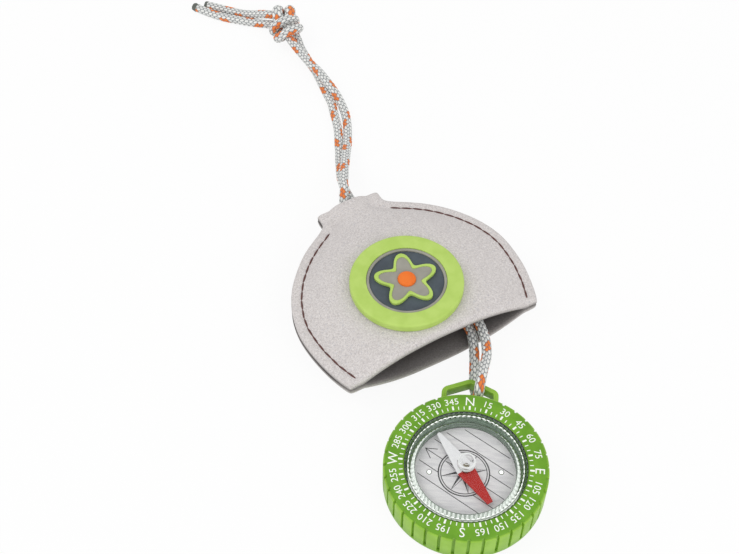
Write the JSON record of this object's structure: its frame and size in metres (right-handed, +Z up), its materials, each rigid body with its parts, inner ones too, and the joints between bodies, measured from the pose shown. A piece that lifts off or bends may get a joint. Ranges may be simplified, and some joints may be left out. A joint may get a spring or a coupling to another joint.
{
  "type": "pocket compass",
  "caption": "Child's outdoor compass with a turning clear capsule and needle, on a doubled cord that runs up through a felt pouch to an overhand knot.",
  "frame": {"origin": "centre of the compass's underside, on the surface it lies on", "axes": "+Z up out of the compass's face, +Y from its centre towards the lug (N on the face), +X towards E on the face"},
  "size_m": [0.1342, 0.211, 0.0196],
  "materials": {
    "lime_case": "satin moulded lime plastic, printed in white",
    "clear_capsule": "clear moulded plastic",
    "clear_lens": "clear polished plastic",
    "dial_print": "pale printed disc",
    "pivot_steel": "turned",
    "needle_paint": "red and white lacquer",
    "cup_brass": "turned",
    "felt_front": "pressed felt",
    "felt_back": "pressed felt",
    "seam_thread": "waxed sewing thread",
    "lime_rubber": "soft moulded rubber",
    "slate_rubber": "soft moulded rubber",
    "grey_rubber": "soft moulded rubber",
    "orange_rubber": "soft moulded rubber",
    "cord_braid": "braided grey cord with orange flecks"
  },
  "bodies": {
    "pouch": {"pouch_front": "felt_front", "pouch_back": "felt_back", "seam_thread_left": "seam_thread", "seam_thread_right": "seam_thread", "badge_base": "lime_rubber", "badge_field": "slate_rubber", "badge_ring": "grey_rubber", "badge_outline": "lime_rubber", "badge_petals": "grey_rubber", "badge_button": "orange_rubber"},
    "compass": {"case_ring": "lime_case", "case_back": "lime_case", "cord_loop": "cord_braid", "cord_strand_left": "cord_braid", "cord_strand_right": "cord_braid", "cord_knot": "cord_braid", "cord_tail_long": "cord_braid", "cord_tail_short": "cord_braid"},
    "capsule": {"capsule_body": "clear_capsule", "capsule_lens": "clear_lens", "dial_plate": "dial_print", "pivot_pin": "pivot_steel"},
    "needle": {"needle_strip": "needle_paint", "needle_cup": "cup_brass"}
  },
  "joints": [
    {"name": "compass_draw", "type": "hinge", "parent": "pouch", "child": "compass", "pos_m": [-0.0992, -0.001, 0], "axis": [0.0185, -0.0416, 0.999], "range_deg": [0, 35.7], "deforming": ["pouch_front", "pouch_back"]},
    {"name": "capsule_turn", "type": "hinge", "parent": "compass", "child": "capsule", "pos_m": [0, 0, 0], "axis": [0, 0, -1], "continuous": true},
    {"name": "needle_swing", "type": "hinge", "parent": "capsule", "child": "needle", "pos_m": [0, 0, 0], "axis": [0, 0, -1], "continuous": true}
  ]
}
